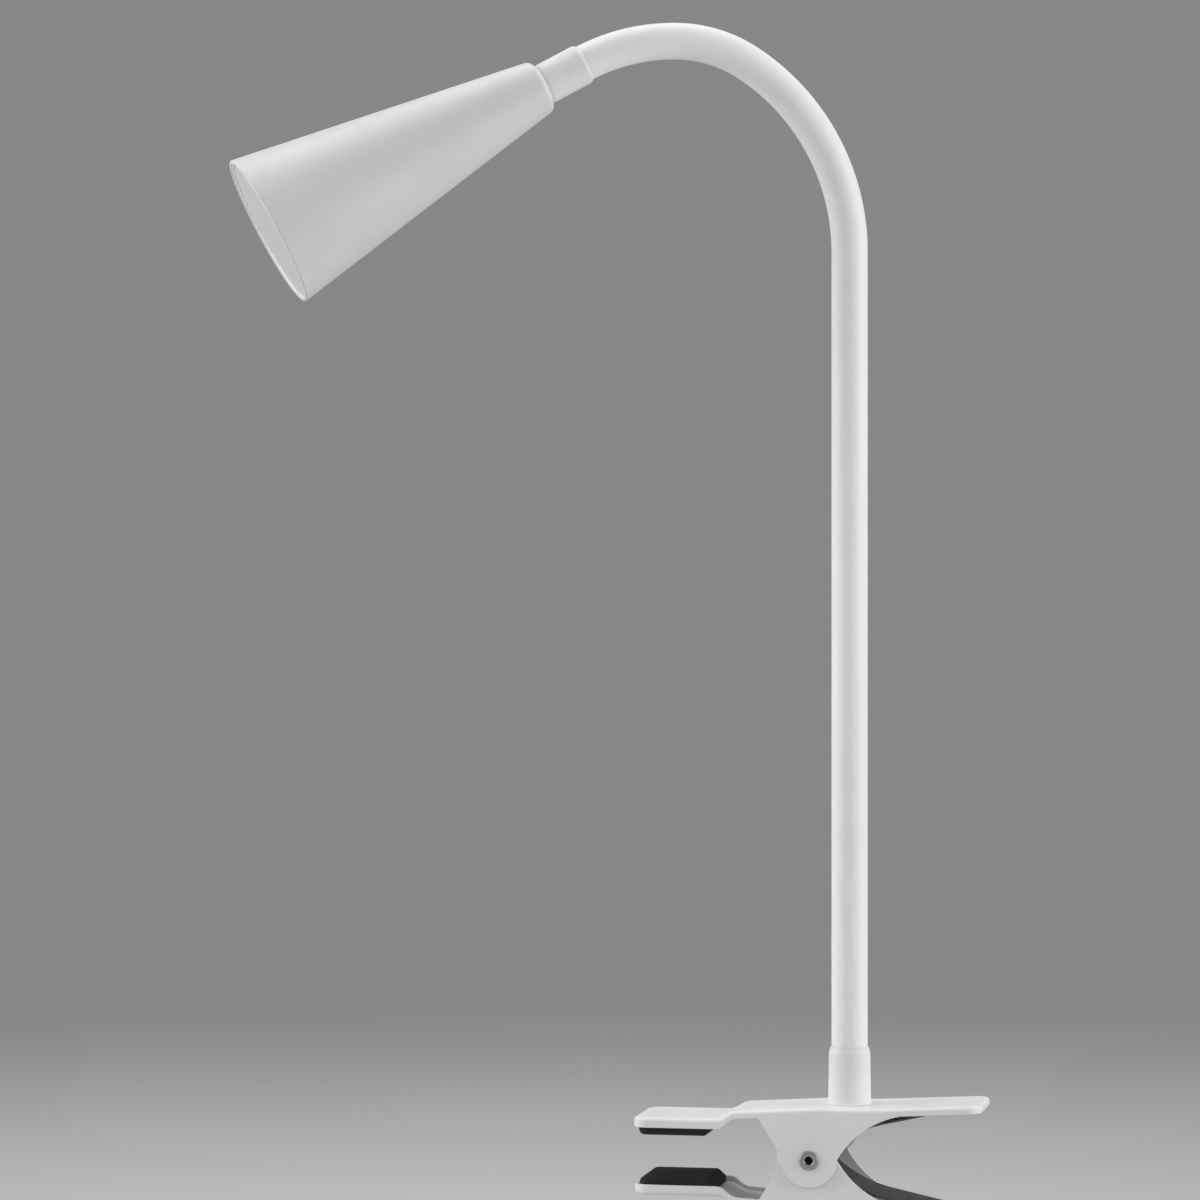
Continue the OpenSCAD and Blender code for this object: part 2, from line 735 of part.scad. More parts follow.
module heat_sink() {
    color("silver") head_frame() difference() {
        union() {
            cone_ring(sink_front - sink_disc_t, sink_front, unit_r(sink_front - sink_disc_t));
            cone_ring(sink_back, sink_front - sink_disc_t + cut, sink_rim_t);
            for (i = [0:fin_count - 1]) rotate([0, 0, 360 * (i + 0.5) / fin_count])
                translate([fin_out - fin_l, -fin_t / 2, sink_back])
                    cube([fin_l, fin_t, sink_l - sink_disc_t + cut]);
            driver_posts();
        }
        screw_places() translate([0, 0, sink_back]) cylinder(d = screw_d + 2 * screw_gap, h = sink_l + cut);
        translate([wire_x, 0, sink_back]) cylinder(r = wire_y + wire_d, h = sink_l + cut);
    }
}

module led_board() {
    color("whitesmoke") head_frame() translate([0, 0, sink_front]) difference() {
        cylinder(d = led_board_d, h = led_board_t);
        translate([0, 0, -cut]) screw_places()
            cylinder(d = screw_d + 2 * screw_gap, h = led_board_t + 2 * cut);
    }
}

module leds() {
    color("khaki") head_frame() translate([0, 0, sink_front + led_board_t])
        for (i = [0:led_count - 1]) rotate([0, 0, 360 * (i + 0.5) / led_count])
            translate([led_ring_d / 2 - led_w / 2, -led_w / 2, 0]) cube([led_w, led_w, led_h]);
}

module board_screws() {
    color("silver") head_frame() translate([0, 0, sink_front + led_board_t]) screw_places() {
        translate([0, 0, -led_board_t - sink_disc_t]) cylinder(d = screw_d, h = led_board_t + sink_disc_t);
        cylinder(d = screw_head_d, h = screw_head_h);
    }
}

module reflector() {
    color("white") head_frame() cone_ring(sink_front + seat_gap, reflector_front, reflector_t);
}

module diffuser() {
    color("lightgray") head_frame() cone_ring(lens_back, lens_front, unit_r(lens_back));
}

module lens_ring() {
    color("white") head_frame() cone_ring(lens_front, lens_front + ring_h, ring_w);
}

// Driver
module driver_board() {
    color("seagreen") head_frame() translate([-driver_t / 2, -driver_w / 2, driver_back])
        cube([driver_t, driver_w, driver_l]);
}

module driver_parts() {
    middle = (driver_back + driver_front) / 2;
    color("goldenrod") head_frame() translate([driver_t / 2, 0, 0]) {
        translate([0, -transformer[1] / 2, middle]) cube([transformer[2], transformer[1], transformer[0]]);
        translate([capacitor_d / 2 + seat_gap, 0, middle - capacitor_l - 2 * lead_short])
            cylinder(d = capacitor_d, h = capacitor_l);
    }
    color("goldenrod") head_frame() translate([-driver_t / 2, 0, middle]) rotate([0, -90, 0])
        cylinder(d = choke_d, h = choke_h);
}

module inner_wires() {
    color("firebrick") head_frame() for (side = [-1, 1]) translate([wire_x, side * wire_y, 0]) {
        translate([0, 0, lead_end + seat_gap]) cylinder(d = wire_d, h = lead_short + wire_on_board);
        translate([0, 0, driver_front - wire_on_board])
            cylinder(d = wire_d, h = sink_front - seat_gap - driver_front + wire_on_board);
    }
}

upper_lever();
upper_pad();
lower_lever();
lower_pad();
pivot_rivet();
pivot_barrel();
clamp_spring();
base_collar();
base_stud();
base_washer();
base_nut();
inlet_bush();
sleeve(0);  // sleeve_base
core(0);  // core_base
lead(0);  // lead_base
for (k = [1:link_count]) {
    sleeve(k);
    core(k);
    lead(k);
}
sleeve(link_count + 1);  // sleeve_head
core(link_count + 1);  // core_head
lead(link_count + 1);  // lead_head
head_collar();
head_nipple();
head_washer();
head_nut();
shade();
heat_sink();
led_board();
leds();
board_screws();
reflector();
diffuser();
lens_ring();
driver_board();
driver_parts();
inner_wires();
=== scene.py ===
"""Clamp lamp: a white cone shade on a gooseneck that stands on a sprung clamp."""

import json
import math

import bmesh
import bpy
from mathutils import Matrix, Vector

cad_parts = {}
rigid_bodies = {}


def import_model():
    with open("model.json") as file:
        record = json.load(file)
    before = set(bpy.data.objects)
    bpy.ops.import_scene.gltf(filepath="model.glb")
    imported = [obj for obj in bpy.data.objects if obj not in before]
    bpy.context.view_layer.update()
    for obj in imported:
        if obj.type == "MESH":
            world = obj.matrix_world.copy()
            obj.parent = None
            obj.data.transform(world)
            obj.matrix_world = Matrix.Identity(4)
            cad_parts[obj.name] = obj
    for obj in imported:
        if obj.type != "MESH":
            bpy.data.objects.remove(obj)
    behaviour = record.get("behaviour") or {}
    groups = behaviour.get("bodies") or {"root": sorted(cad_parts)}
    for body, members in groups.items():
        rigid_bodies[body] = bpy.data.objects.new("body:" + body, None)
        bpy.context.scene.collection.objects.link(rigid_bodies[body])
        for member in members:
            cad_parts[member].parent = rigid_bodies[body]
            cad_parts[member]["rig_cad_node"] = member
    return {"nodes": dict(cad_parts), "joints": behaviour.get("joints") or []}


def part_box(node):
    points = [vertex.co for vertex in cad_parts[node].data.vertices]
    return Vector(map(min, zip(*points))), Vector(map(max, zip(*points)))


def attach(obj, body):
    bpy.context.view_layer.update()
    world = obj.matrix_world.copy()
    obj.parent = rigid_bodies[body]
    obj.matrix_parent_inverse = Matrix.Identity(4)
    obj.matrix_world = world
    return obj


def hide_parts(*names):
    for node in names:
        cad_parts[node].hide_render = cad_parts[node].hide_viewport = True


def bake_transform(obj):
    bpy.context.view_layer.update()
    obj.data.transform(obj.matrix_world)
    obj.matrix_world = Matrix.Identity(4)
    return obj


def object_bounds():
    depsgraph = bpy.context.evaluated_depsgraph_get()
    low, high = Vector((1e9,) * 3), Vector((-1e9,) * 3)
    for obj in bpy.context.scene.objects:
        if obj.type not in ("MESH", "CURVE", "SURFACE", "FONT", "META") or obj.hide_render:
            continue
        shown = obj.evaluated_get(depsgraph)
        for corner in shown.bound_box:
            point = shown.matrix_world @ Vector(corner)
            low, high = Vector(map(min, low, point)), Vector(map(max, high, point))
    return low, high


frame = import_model()
cad_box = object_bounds()

MM = 0.001

# Joints, as the part has them
JOINTS = {joint["name"]: joint for joint in frame["joints"]}
PIVOT = Vector(JOINTS["jaw_hinge"]["pos_m"])
NECK_JOINTS = [joint for name, joint in JOINTS.items() if name != "jaw_hinge"]

# Line of the gooseneck: an upright run, then bends (radius, degrees), all turned towards the viewer
UPRIGHT_L = 307.3 * MM
BENDS = ((85 * MM, 58), (52 * MM, 32), (77 * MM, 28.6))
ARM_TURN = math.radians(20.8)
NECK_L = UPRIGHT_L + sum(radius * math.radians(degrees) for radius, degrees in BENDS)
NECK_FOOT = Vector((*NECK_JOINTS[0]["pos_m"][:2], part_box("base_collar")[1].z))
HALVINGS = 40

# Sleeve over the gooseneck
SLEEVE_R = 7 * MM
SLEEVE_BORE_R = 5.9 * MM
SLEEVE_STEP = 1.5 * MM
SLEEVE_LEAST_STEPS = 8
SLEEVE_SIDES = 64

# Collars
COLLAR_BORE_R = 7.1 * MM
COLLAR_RIM = 0.3 * MM
FLANGE_H = 5.1 * MM
BASE_COLLAR_H = 22 * MM
BASE_COLLAR_FOOT_R = 8.3 * MM
BASE_COLLAR_FLARE = 0.7 * MM
BASE_COLLAR_TOP_R = 8 * MM
BASE_COLLAR_CHAMFER = 2.3 * MM
BASE_COLLAR_ROUND = 0.8 * MM
BASE_COLLAR_EDGE_ROUND = 0.15 * MM
HEAD_COLLAR_R = 7.9 * MM
HEAD_COLLAR_L = 18 * MM
HEAD_COLLAR_CHAMFER = 1.3 * MM
HEAD_COLLAR_END_R = 7.4 * MM
HEAD_COLLAR_ROUND = 0.4 * MM
HEAD_COLLAR_EDGE_ROUND = 0.1 * MM

# Shade and lens, measured from the sleeve's end of the head collar
SHADE_L = 120 * MM
SHADE_MOUTH_R = 30 * MM
SHADE_BACK_R = 10.3 * MM
SHADE_WALL = 1 * MM
SHADE_BACK_WALL = 2 * MM
SHADE_BACK_ROUND = 3 * MM
SHADE_INNER_ROUND = 1 * MM
SHADE_HOLE_R = 5.2 * MM
SHADE_HOLE_ROUND = 0.2 * MM
SHADE_LIP_W = 1.5 * MM
SHADE_LIP_H = 0.55 * MM
SHADE_LIP_ROUND = 0.75 * MM
SHADE_LIP_INNER_ROUND = 0.25 * MM
SHADE_LIP_BACK_ROUND = 0.15 * MM
SHADE_LIP_FOOT_ROUND = 0.1 * MM
SHADE_SIDES = 192
SHADE_ARC_STEPS = 10
LENS_GAP = 0.35 * MM
LENS_RECESS = 1.2 * MM
LENS_T = 2.8 * MM
LENS_DOME = 0.5 * MM
LENS_DOME_STEPS = 10
LENS_ROUND = 0.3 * MM
RING_W = 0.7 * MM
RING_EDGE_H = 0.2 * MM
RING_TUCK = 0.15 * MM
RING_ROUND = 0.1 * MM
SHADE_BACK = HEAD_COLLAR_L
SHADE_MOUTH = HEAD_COLLAR_L + SHADE_L
SHADE_SLOPE = (SHADE_MOUTH_R - SHADE_BACK_R) / SHADE_L

# Clamp
LEVER_HALF_W = 19 * MM
LEVER_LOBE_R = 10.5 * MM
LEVER_BEND_R = 1.5 * MM
LEVER_STEP_R = 2.2 * MM
LEVER_INNER_R = 0.5 * MM
LEVER_EDGE_R = 0.25 * MM
LEVER_ARC_STEPS = 4
PAD_EDGE_R = 0.5 * MM
RIVET_R = 2.5 * MM
RIVET_BORE_R = 1.5 * MM
RIVET_HEAD_R = 3.8 * MM
RIVET_HEAD_T = 0.9 * MM
RIVET_UNDER_ROUND = 0.2 * MM
RIVET_RIM_ROUND = 0.55 * MM
RIVET_BORE_ROUND = 0.7 * MM
RIVET_SIDES = 64
SPRING_EDGE_R = 0.2 * MM

# How far a lever's face looks up, as the upright part of its normal
LEVEL_OVER = 0.8
SLOPED_OVER = 0.7
UPRIGHT_UNDER = 0.3

# Fixings
FIXING_EDGE_R = 0.15 * MM
FIXING_ARC_STEPS = 2

# Meshes
TURNED_SIDES = 128
TURNED_ARC_STEPS = 6
EASED_ARC_STEPS = 3
ON_AXIS_UNDER = 1e-7
SAME_POINT_WITHIN = 1e-6
FLAT_WITHIN = math.radians(0.5)
CREASED_OVER = math.radians(20)

# Finishes: most of a noise lies between these two values
NOISE_LOW = 0.3
NOISE_HIGH = 0.7
METAL_DRIFT = 0.06
METAL_DRIFT_SIZE = 8 * MM
LINES_BRIGHT = 0.8
LINES_DULL = 1.25

# Photograph's view: the camera looks level across the clamp, a little from the handles' side
VIEW_AIM = Vector((-29.1, -18.5, 206.5)) * MM
VIEW_AZIMUTH = math.radians(11)
VIEW_DISTANCE = 1.65
VIEW_LENS = 128
VIEW_SENSOR_W = 36
VIEW_NEAR = 0.05
VIEW_FAR = 50

# Stage, in metres: the floor is whole near the lamp and gone at the far end of its fade
BACKDROP = (0.24, 0.243, 0.247)
PAPER = (0.52, 0.525, 0.53)
PAPER_DRIFT = 0.01
PAPER_DRIFT_SIZE = 0.4
FLOOR_DROP = 30 * MM
FLOOR_R = 6
FLOOR_SIDES = 96
FLOOR_FADE = (0.15, 1.1)
ROOM_LIGHT = 0.36

# Soft boxes: name, place, side in metres, watts
SOFT_BOXES = (
    ("left_softbox", (-1.35, -0.25, 0.5), 1, 10.5),
    ("right_softbox", (1.4, -0.15, 0.5), 1, 11.5),
    ("top_softbox", (-0.2, 0.2, 1.7), 1.2, 13),
    ("front_fill", (1.25, -0.95, 0.14), 0.34, 0.7),
    ("low_fill", (-0.55, -0.7, 0.13), 0.3, 0.6),
)


# Line of the gooseneck
def neck_line(s):
    """Point, direction and outward side of the gooseneck's line at the length s above the base collar."""
    x, z, lean = 0.0, min(s, UPRIGHT_L), 0.0
    left = s - z
    for radius, degrees in BENDS:
        turn = min(max(left / radius, 0), math.radians(degrees))
        x += radius * (math.cos(lean + turn) - math.cos(lean))
        z += radius * (math.sin(lean + turn) - math.sin(lean))
        lean += turn
        left -= radius * turn
    x -= left * math.sin(lean)
    z += left * math.cos(lean)
    across = Vector((math.cos(ARM_TURN), math.sin(ARM_TURN), 0))
    up = Vector((0, 0, 1))
    along = up * math.cos(lean) - across * math.sin(lean)
    outward = across * math.cos(lean) + up * math.sin(lean)
    return NECK_FOOT + across * x + up * z, along, outward


def frame_along(point, along, outward):
    """A frame at the point, with its Z along the line and its X outward."""
    side = along.cross(outward)
    return Matrix.Translation(point) @ Matrix((outward, side, along)).transposed().to_4x4()


def length_at(joint):
    """Where a neck joint lies along the gooseneck, found by halving."""
    low, high = 0.0, NECK_L
    place = Vector(joint["pos_m"])
    for _ in range(HALVINGS):
        middle = (low + high) / 2
        point, along, _ = neck_line(middle)
        if (place - point).dot(along) > 0:
            low = middle
        else:
            high = middle
    return low


AT_BASE = Matrix.Translation(NECK_FOOT - Vector((0, 0, BASE_COLLAR_H)))
AT_HEAD = frame_along(*neck_line(NECK_L))
AT_RIVET = Matrix.Translation(PIVOT) @ Matrix.Rotation(math.radians(-90), 4, "X")


# Mesh tools
def new_piece(name, bm):
    """A smooth-shaded object from a finished bmesh, which is then let go."""
    mesh = bpy.data.meshes.new(name)
    bm.to_mesh(mesh)
    bm.free()
    for polygon in mesh.polygons:
        polygon.use_smooth = True
    piece = bpy.data.objects.new(name, mesh)
    bpy.context.scene.collection.objects.link(piece)
    return piece


def ring_of(radius, height, sides):
    """Points of a level ring about the Z axis."""
    turns = [2 * math.pi * k / sides for k in range(sides)]
    return [Vector((radius * math.cos(turn), radius * math.sin(turn), height)) for turn in turns]


def rounded(corners, steps):
    """A closed outline from corners (x, y, radius), each turned into an arc of its radius."""
    outline = []
    for i, (x, y, radius) in enumerate(corners):
        here = Vector((x, y))
        if radius == 0:
            outline.append(here)
            continue
        back = (Vector(corners[i - 1][:2]) - here).normalized()
        ahead = (Vector(corners[(i + 1) % len(corners)][:2]) - here).normalized()
        half = back.angle(ahead) / 2
        centre = here + (back + ahead).normalized() * radius / math.sin(half)
        first = here + back * radius / math.tan(half) - centre
        last = here + ahead * radius / math.tan(half) - centre
        turn = first.angle_signed(last)
        for step in range(steps + 1):
            arm = first.copy()
            arm.rotate(Matrix.Rotation(-turn * step / steps, 2))
            outline.append(centre + arm)
    return outline


def turned(name, corners, place, sides=TURNED_SIDES, steps=TURNED_ARC_STEPS):
    """A solid turned about the place's Z, from its closed outline of corners (radius, height, round)."""
    bm = bmesh.new()
    rings = []
    for radius, height in rounded(corners, steps):
        if radius < ON_AXIS_UNDER:
            points = [(0, 0, height)]
        else:
            points = ring_of(radius, height, sides)
        rings.append([bm.verts.new(point) for point in points])
    for here, ahead in zip(rings, rings[1:] + rings[:1]):
        if len(here) == len(ahead) == 1:
            continue
        for k in range(sides):
            corner = [here[k % len(here)], here[(k + 1) % len(here)]]
            corner += [ahead[(k + 1) % len(ahead)], ahead[k % len(ahead)]]
            bm.faces.new(list(dict.fromkeys(corner)))
    bmesh.ops.recalc_face_normals(bm, faces=bm.faces[:])
    bm.transform(place)
    piece = new_piece(name, bm)
    piece.modifiers.new("even shading", "WEIGHTED_NORMAL")
    return piece


def sleeve_length(name, start, end):
    """A length of the sleeve along the gooseneck's line, with its bore and sharp ends."""
    count = max(round((end - start) / SLEEVE_STEP), SLEEVE_LEAST_STEPS)
    places = [frame_along(*neck_line(start + (end - start) * i / count)) for i in range(count + 1)]
    bm = bmesh.new()
    walls = []
    for radius in (SLEEVE_R, SLEEVE_BORE_R):
        ring = ring_of(radius, 0, SLEEVE_SIDES)
        walls.append([[bm.verts.new(place @ point) for point in ring] for place in places])
    outer, inner = walls
    loops = outer + inner[::-1]
    for here, ahead in zip(loops, loops[1:] + loops[:1]):
        for k in range(SLEEVE_SIDES):
            beside = (k + 1) % SLEEVE_SIDES
            bm.faces.new((here[k], here[beside], ahead[beside], ahead[k]))
    bmesh.ops.recalc_face_normals(bm, faces=bm.faces[:])
    for rim in (outer[0], outer[-1], inner[0], inner[-1]):
        for k in range(SLEEVE_SIDES):
            bm.edges.get((rim[k], rim[(k + 1) % SLEEVE_SIDES])).smooth = False
    return new_piece(name, bm)


def eased_copy(cad_node, name, round_of, segments=EASED_ARC_STEPS):
    """A copy of a CAD node with each edge rounded by the radius that round_of gives it."""
    bm = bmesh.new()
    bm.from_mesh(frame["nodes"][cad_node].data)
    bmesh.ops.remove_doubles(bm, verts=bm.verts[:], dist=SAME_POINT_WITHIN)
    bmesh.ops.dissolve_limit(
        bm,
        angle_limit=FLAT_WITHIN,
        use_dissolve_boundaries=False,
        verts=bm.verts[:],
        edges=bm.edges[:],
    )
    bmesh.ops.recalc_face_normals(bm, faces=bm.faces[:])
    weight = bm.edges.layers.float.new("bevel_weight_edge")
    creases = [e for e in bm.edges if len(e.link_faces) == 2 and e.calc_face_angle() > CREASED_OVER]
    radii = [round_of(edge) for edge in creases]
    widest = max(radii)
    for edge, radius in zip(creases, radii):
        edge[weight] = radius / widest
    piece = new_piece(name, bm)
    bevel = piece.modifiers.new("rounded edges", "BEVEL")
    bevel.limit_method = "WEIGHT"
    bevel.width = widest
    bevel.segments = segments
    bevel.use_clamp_overlap = False
    piece.modifiers.new("even shading", "WEIGHTED_NORMAL")
    return piece


# Shader tools
def plug(tree, value, socket):
    """Links a node's output to a socket, or sets the socket's plain value."""
    if isinstance(value, bpy.types.NodeSocket):
        tree.links.new(value, socket)
    else:
        socket.default_value = value


def node(tree, kind, inputs=None, **settings):
    """A shader node with its settings, and its inputs by name or number."""
    made = tree.nodes.new("ShaderNode" + kind)
    for key, value in settings.items():
        setattr(made, key, value)
    for key, value in (inputs or {}).items():
        plug(tree, value, made.inputs[key])
    return made


def reckon(tree, operation, *values):
    """The output of one Math node."""
    return node(tree, "Math", dict(enumerate(values)), operation=operation).outputs[0]


def spread(tree, value, low, high, low_to, high_to):
    """A value mapped from one span to another, and held at its ends."""
    spans = {"Value": value, 1: low, 2: high, 3: low_to, 4: high_to}
    return node(tree, "MapRange", spans, clamp=True).outputs[0]


def noise(tree, size, detail, stretch=None):
    """Noise over the surface with features of the given size in metres."""
    place = node(tree, "TexCoord").outputs["Object"]
    if stretch is not None:
        place = node(tree, "VectorMath", {0: place, 1: stretch}, operation="MULTIPLY").outputs[0]
    scale = reckon(tree, "DIVIDE", 1.0, size)
    return node(tree, "TexNoise", {"Vector": place, "Scale": scale, "Detail": detail}).outputs[0]


def blended(tree, mask, colour, other):
    """One colour turned into another where the mask is 1."""
    mix = node(tree, "Mix", data_type="RGBA")
    factor, first, second = (mix.inputs[i] for i in (0, 6, 7))
    plug(tree, mask, factor)
    plug(tree, colour, first)
    plug(tree, other, second)
    return mix.outputs[2]


def new_group(name, inputs, outputs):
    """An empty shader group, with its inputs (kind, value) and outputs (kind) by name."""
    tree = bpy.data.node_groups.new(name, "ShaderNodeTree")
    for label, (kind, value) in inputs.items():
        made = tree.interface.new_socket(label, in_out="INPUT", socket_type="NodeSocket" + kind)
        made.default_value = value
    for label, kind in outputs.items():
        tree.interface.new_socket(label, in_out="OUTPUT", socket_type="NodeSocket" + kind)
    return tree, tree.nodes.new("NodeGroupInput").outputs, tree.nodes.new("NodeGroupOutput").inputs


# Effects that the finishes share
def coat_relief_group():
    """Soft waves of a sprayed or moulded skin, with a finer grain on them."""
    wants = {"Wave": ("Float", 1.6 * MM), "Grain": ("Float", 0.3 * MM), "Grain Share": ("Float", 0.4)}
    tree, given, out = new_group("coat relief", wants, {"Height": "Float"})
    waves = noise(tree, given["Wave"], detail=1.0)
    grain = noise(tree, given["Grain"], detail=2.0)
    plug(tree, reckon(tree, "MULTIPLY_ADD", grain, given["Grain Share"], waves), out["Height"])
    return tree


def tone_drift_group():
    """Slow drift of a colour's tone over the surface."""
    wants = {"Color": ("Color", (1, 1, 1, 1)), "Amount": ("Float", 0.03), "Size": ("Float", 25 * MM)}
    tree, given, out = new_group("tone drift", wants, {"Color": "Color"})
    cloud = noise(tree, given["Size"], detail=3.0)
    low = reckon(tree, "SUBTRACT", 1.0, given["Amount"])
    high = reckon(tree, "ADD", 1.0, given["Amount"])
    tone = spread(tree, cloud, NOISE_LOW, NOISE_HIGH, low, high)
    toned = node(tree, "VectorMath", {0: given["Color"], "Scale": tone}, operation="SCALE")
    plug(tree, toned.outputs[0], out["Color"])
    return tree


def handling_group():
    """Roughness that varies where hands and cloths have been, in smears along the upright."""
    wants = {"Roughness": ("Float", 0.4), "Amount": ("Float", 0.06), "Size": ("Float", 12 * MM)}
    tree, given, out = new_group("handling", wants, {"Roughness": "Float"})
    smear = noise(tree, given["Size"], detail=4.0, stretch=(1, 1, 0.45))
    low = reckon(tree, "SUBTRACT", given["Roughness"], given["Amount"])
    high = reckon(tree, "ADD", given["Roughness"], given["Amount"])
    plug(tree, spread(tree, smear, NOISE_LOW, NOISE_HIGH, low, high), out["Roughness"])
    return tree


def edge_rub_group():
    """Mask of the edges that are rubbed, broken up by noise."""
    wants = {"Reach": ("Float", 0.6 * MM), "Strength": ("Float", 0.5)}
    tree, given, out = new_group("edge rub", wants, {"Mask": "Float"})
    eased = node(tree, "Bevel", {"Radius": given["Reach"]}, samples=6).outputs[0]
    plain = node(tree, "NewGeometry").outputs["Normal"]
    along = node(tree, "VectorMath", {0: eased, 1: plain}, operation="DOT_PRODUCT").outputs["Value"]
    edge = spread(tree, along, low=0.98, high=0.8, low_to=0.0, high_to=1.0)
    patches = noise(tree, 2.5 * MM, detail=4.0)
    broken = spread(tree, patches, low=0.4, high=0.65, low_to=0.2, high_to=1.0)
    rubbed = reckon(tree, "MULTIPLY", edge, broken)
    plug(tree, reckon(tree, "MULTIPLY", rubbed, given["Strength"]), out["Mask"])
    return tree


def lay_lines_group():
    """Fine lines of drawing, rolling or turning; Stretch is long across the lines and short along them."""
    wants = {"Size": ("Float", 0.3 * MM), "Stretch": ("Vector", (1, 1, 0.03))}
    tree, given, out = new_group("lay lines", wants, {"Height": "Float"})
    plug(tree, noise(tree, given["Size"], detail=3.0, stretch=given["Stretch"]), out["Height"])
    return tree


COAT_RELIEF = coat_relief_group()
TONE_DRIFT = tone_drift_group()
HANDLING = handling_group()
EDGE_RUB = edge_rub_group()
LAY_LINES = lay_lines_group()


def placed(tree, group, **inputs):
    """The outputs of a shader group that is placed in a material with its own values."""
    made = tree.nodes.new("ShaderNodeGroup")
    made.node_tree = group
    for key, value in inputs.items():
        plug(tree, value, made.inputs[key])
    return made.outputs


# Finishes
def new_finish(name, plain):
    """A material, its tree and its shader's sockets, with the shader's plain values set by socket name."""
    finish = bpy.data.materials.new(name)
    finish.use_nodes = True
    shader = finish.node_tree.nodes["Principled BSDF"]
    for key, value in plain.items():
        shader.inputs[key].default_value = value
    return finish, finish.node_tree, shader.inputs


def relief(tree, height, depth, sockets):
    """Bump of the given depth in metres on the shader's normal."""
    bump = node(tree, "Bump", {"Height": height, "Distance": depth, "Strength": 1.0})
    plug(tree, bump.outputs[0], sockets["Normal"])


def skin(name, colour, rough, wave, depth, drift=0.03, rub=None, **plain):
    """A sprayed, moulded or extruded skin: drifting tone, handled gloss, soft relief and rubbed edges."""
    finish, tree, sockets = new_finish(name, plain)
    tone = placed(tree, TONE_DRIFT, Color=(*colour, 1), Amount=drift)["Color"]
    if rub:
        rubbed_to, strength = rub
        mask = placed(tree, EDGE_RUB, Strength=strength)["Mask"]
        tone = blended(tree, mask, tone, (*rubbed_to, 1))
    plug(tree, tone, sockets["Base Color"])
    plug(tree, placed(tree, HANDLING, Roughness=rough)["Roughness"], sockets["Roughness"])
    relief(tree, placed(tree, COAT_RELIEF, Wave=wave)["Height"], depth, sockets)
    return finish


def drawn_metal(name, colour, rough, lines, depth, stretch):
    """Bare metal with the lines of its drawing, rolling or turning."""
    finish, tree, sockets = new_finish(name, {"Metallic": 1.0})
    drifting = {"Color": (*colour, 1), "Amount": METAL_DRIFT, "Size": METAL_DRIFT_SIZE}
    plug(tree, placed(tree, TONE_DRIFT, **drifting)["Color"], sockets["Base Color"])
    height = placed(tree, LAY_LINES, Size=lines, Stretch=stretch)["Height"]
    gloss = spread(tree, height, NOISE_LOW, NOISE_HIGH, rough * LINES_BRIGHT, rough * LINES_DULL)
    plug(tree, gloss, sockets["Roughness"])
    relief(tree, height, depth, sockets)
    return finish


# By slot. A skin: name, colour, roughness, size and depth of its waves, drift of its tone.
# A drawn metal: name, colour, roughness, size and depth of its lines, their stretch.
FINISHES = {
    "white_paint": skin(
        "white_powder_coat",
        (0.82, 0.82, 0.81),
        0.5,
        1.8 * MM,
        0.018 * MM,
        rub=((0.72, 0.72, 0.71), 0.25),
        **{"Specular IOR Level": 0.35},
    ),
    "shade_paint": skin("shade_satin_enamel", (0.72, 0.72, 0.72), 0.46, 2.4 * MM, 0.012 * MM),
    "pad_rubber": skin(
        "jaw_pad_rubber",
        (0.022, 0.022, 0.024),
        0.78,
        0.9 * MM,
        0.05 * MM,
        0.15,
        **{"Specular IOR Level": 0.25},
    ),
    "rivet_steel": drawn_metal(
        "rivet_nickel",
        (0.45, 0.447, 0.445),
        0.45,
        0.25 * MM,
        0.006 * MM,
        (1, 0.05, 1),
    ),
    "spring_steel": drawn_metal(
        "spring_blued",
        (0.13, 0.131, 0.138),
        0.42,
        0.3 * MM,
        0.006 * MM,
        (1, 0.04, 1),
    ),
    "nylon": skin("barrel_nylon", (0.76, 0.74, 0.68), 0.5, 1.2 * MM, 0.02 * MM),
    "zinc_steel": drawn_metal("zinc_plate", (0.6, 0.61, 0.64), 0.34, 0.2 * MM, 0.005 * MM, (1, 1, 0.2)),
    "black_nylon": skin("bush_nylon", (0.025, 0.025, 0.026), 0.55, 0.8 * MM, 0.02 * MM, 0.12),
    "white_sleeve": skin("sleeve_silicone", (0.89, 0.89, 0.885), 0.5, 3 * MM, 0.02 * MM, 0.02),
    "core_steel": drawn_metal("wound_core", (0.45, 0.45, 0.46), 0.4, 1.2 * MM, 0.1 * MM, (0.1, 0.1, 1)),
    "lead_pvc": skin("lead_sheath", (0.78, 0.78, 0.77), 0.5, 1 * MM, 0.02 * MM),
    "sink_aluminium": drawn_metal("sink_cast", (0.72, 0.72, 0.73), 0.42, 0.5 * MM, 0.02 * MM, (1, 1, 1)),
    "board_white": skin("board_white_mask", (0.82, 0.82, 0.81), 0.35, 2 * MM, 0.01 * MM),
    "phosphor": skin("diode_phosphor", (0.8, 0.62, 0.12), 0.3, 0.6 * MM, 0.02 * MM, 0.08),
    "reflector_white": skin("reflector_moulding", (0.86, 0.86, 0.85), 0.4, 2 * MM, 0.01 * MM),
    "diffuser_acrylic": skin("opal_acrylic", (0.65, 0.655, 0.66), 0.38, 0.9 * MM, 0.03 * MM, 0.01),
    "ring_white": skin("ring_moulding", (0.84, 0.84, 0.83), 0.36, 1.5 * MM, 0.01 * MM),
    "board_green": skin("board_green_mask", (0.03, 0.17, 0.07), 0.3, 1.5 * MM, 0.02 * MM, 0.15),
    "driver_black": skin("driver_moulding", (0.05, 0.05, 0.052), 0.4, 0.8 * MM, 0.02 * MM, 0.1),
    "wire_red": skin("wire_insulation", (0.42, 0.03, 0.025), 0.4, 0.8 * MM, 0.01 * MM, 0.08),
}


